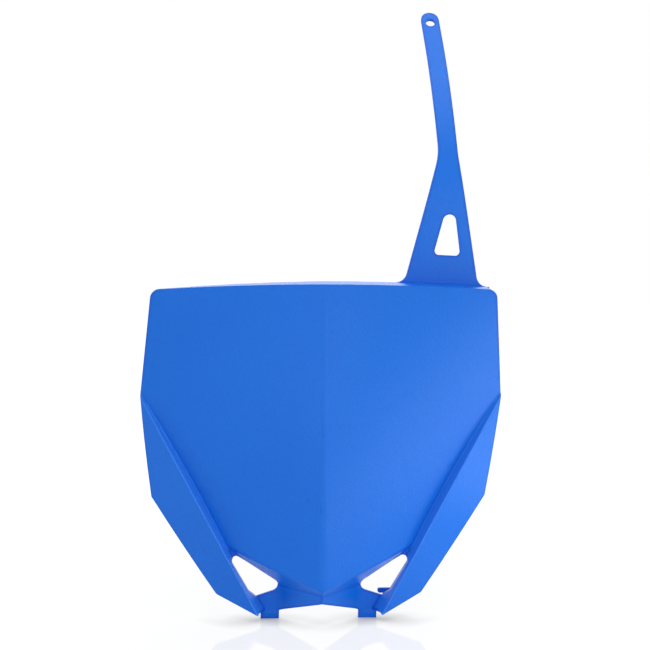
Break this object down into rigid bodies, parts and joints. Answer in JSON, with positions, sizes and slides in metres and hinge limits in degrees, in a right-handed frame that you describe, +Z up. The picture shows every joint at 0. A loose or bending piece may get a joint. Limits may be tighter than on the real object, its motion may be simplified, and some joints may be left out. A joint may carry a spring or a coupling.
{
  "type": "racing number board",
  "caption": "Front number board of an off-road motorbike: thin vee-shaped plastic shell with raised side wings, lower windows, two feet and a tall strap with an end hole.",
  "frame": {"origin": "middle of the bounding box at the level of the feet's bottoms", "axes": "+X to the right seen from the front, +Y to the rear, +Z up; the front faces -Y"},
  "size_m": [0.25, 0.0836, 0.4235],
  "materials": {
    "blue_plastic": "satin moulded polypropylene with a fine grain"
  },
  "bodies": {
    "root": {"number_board": "blue_plastic"}
  },
  "joints": []
}
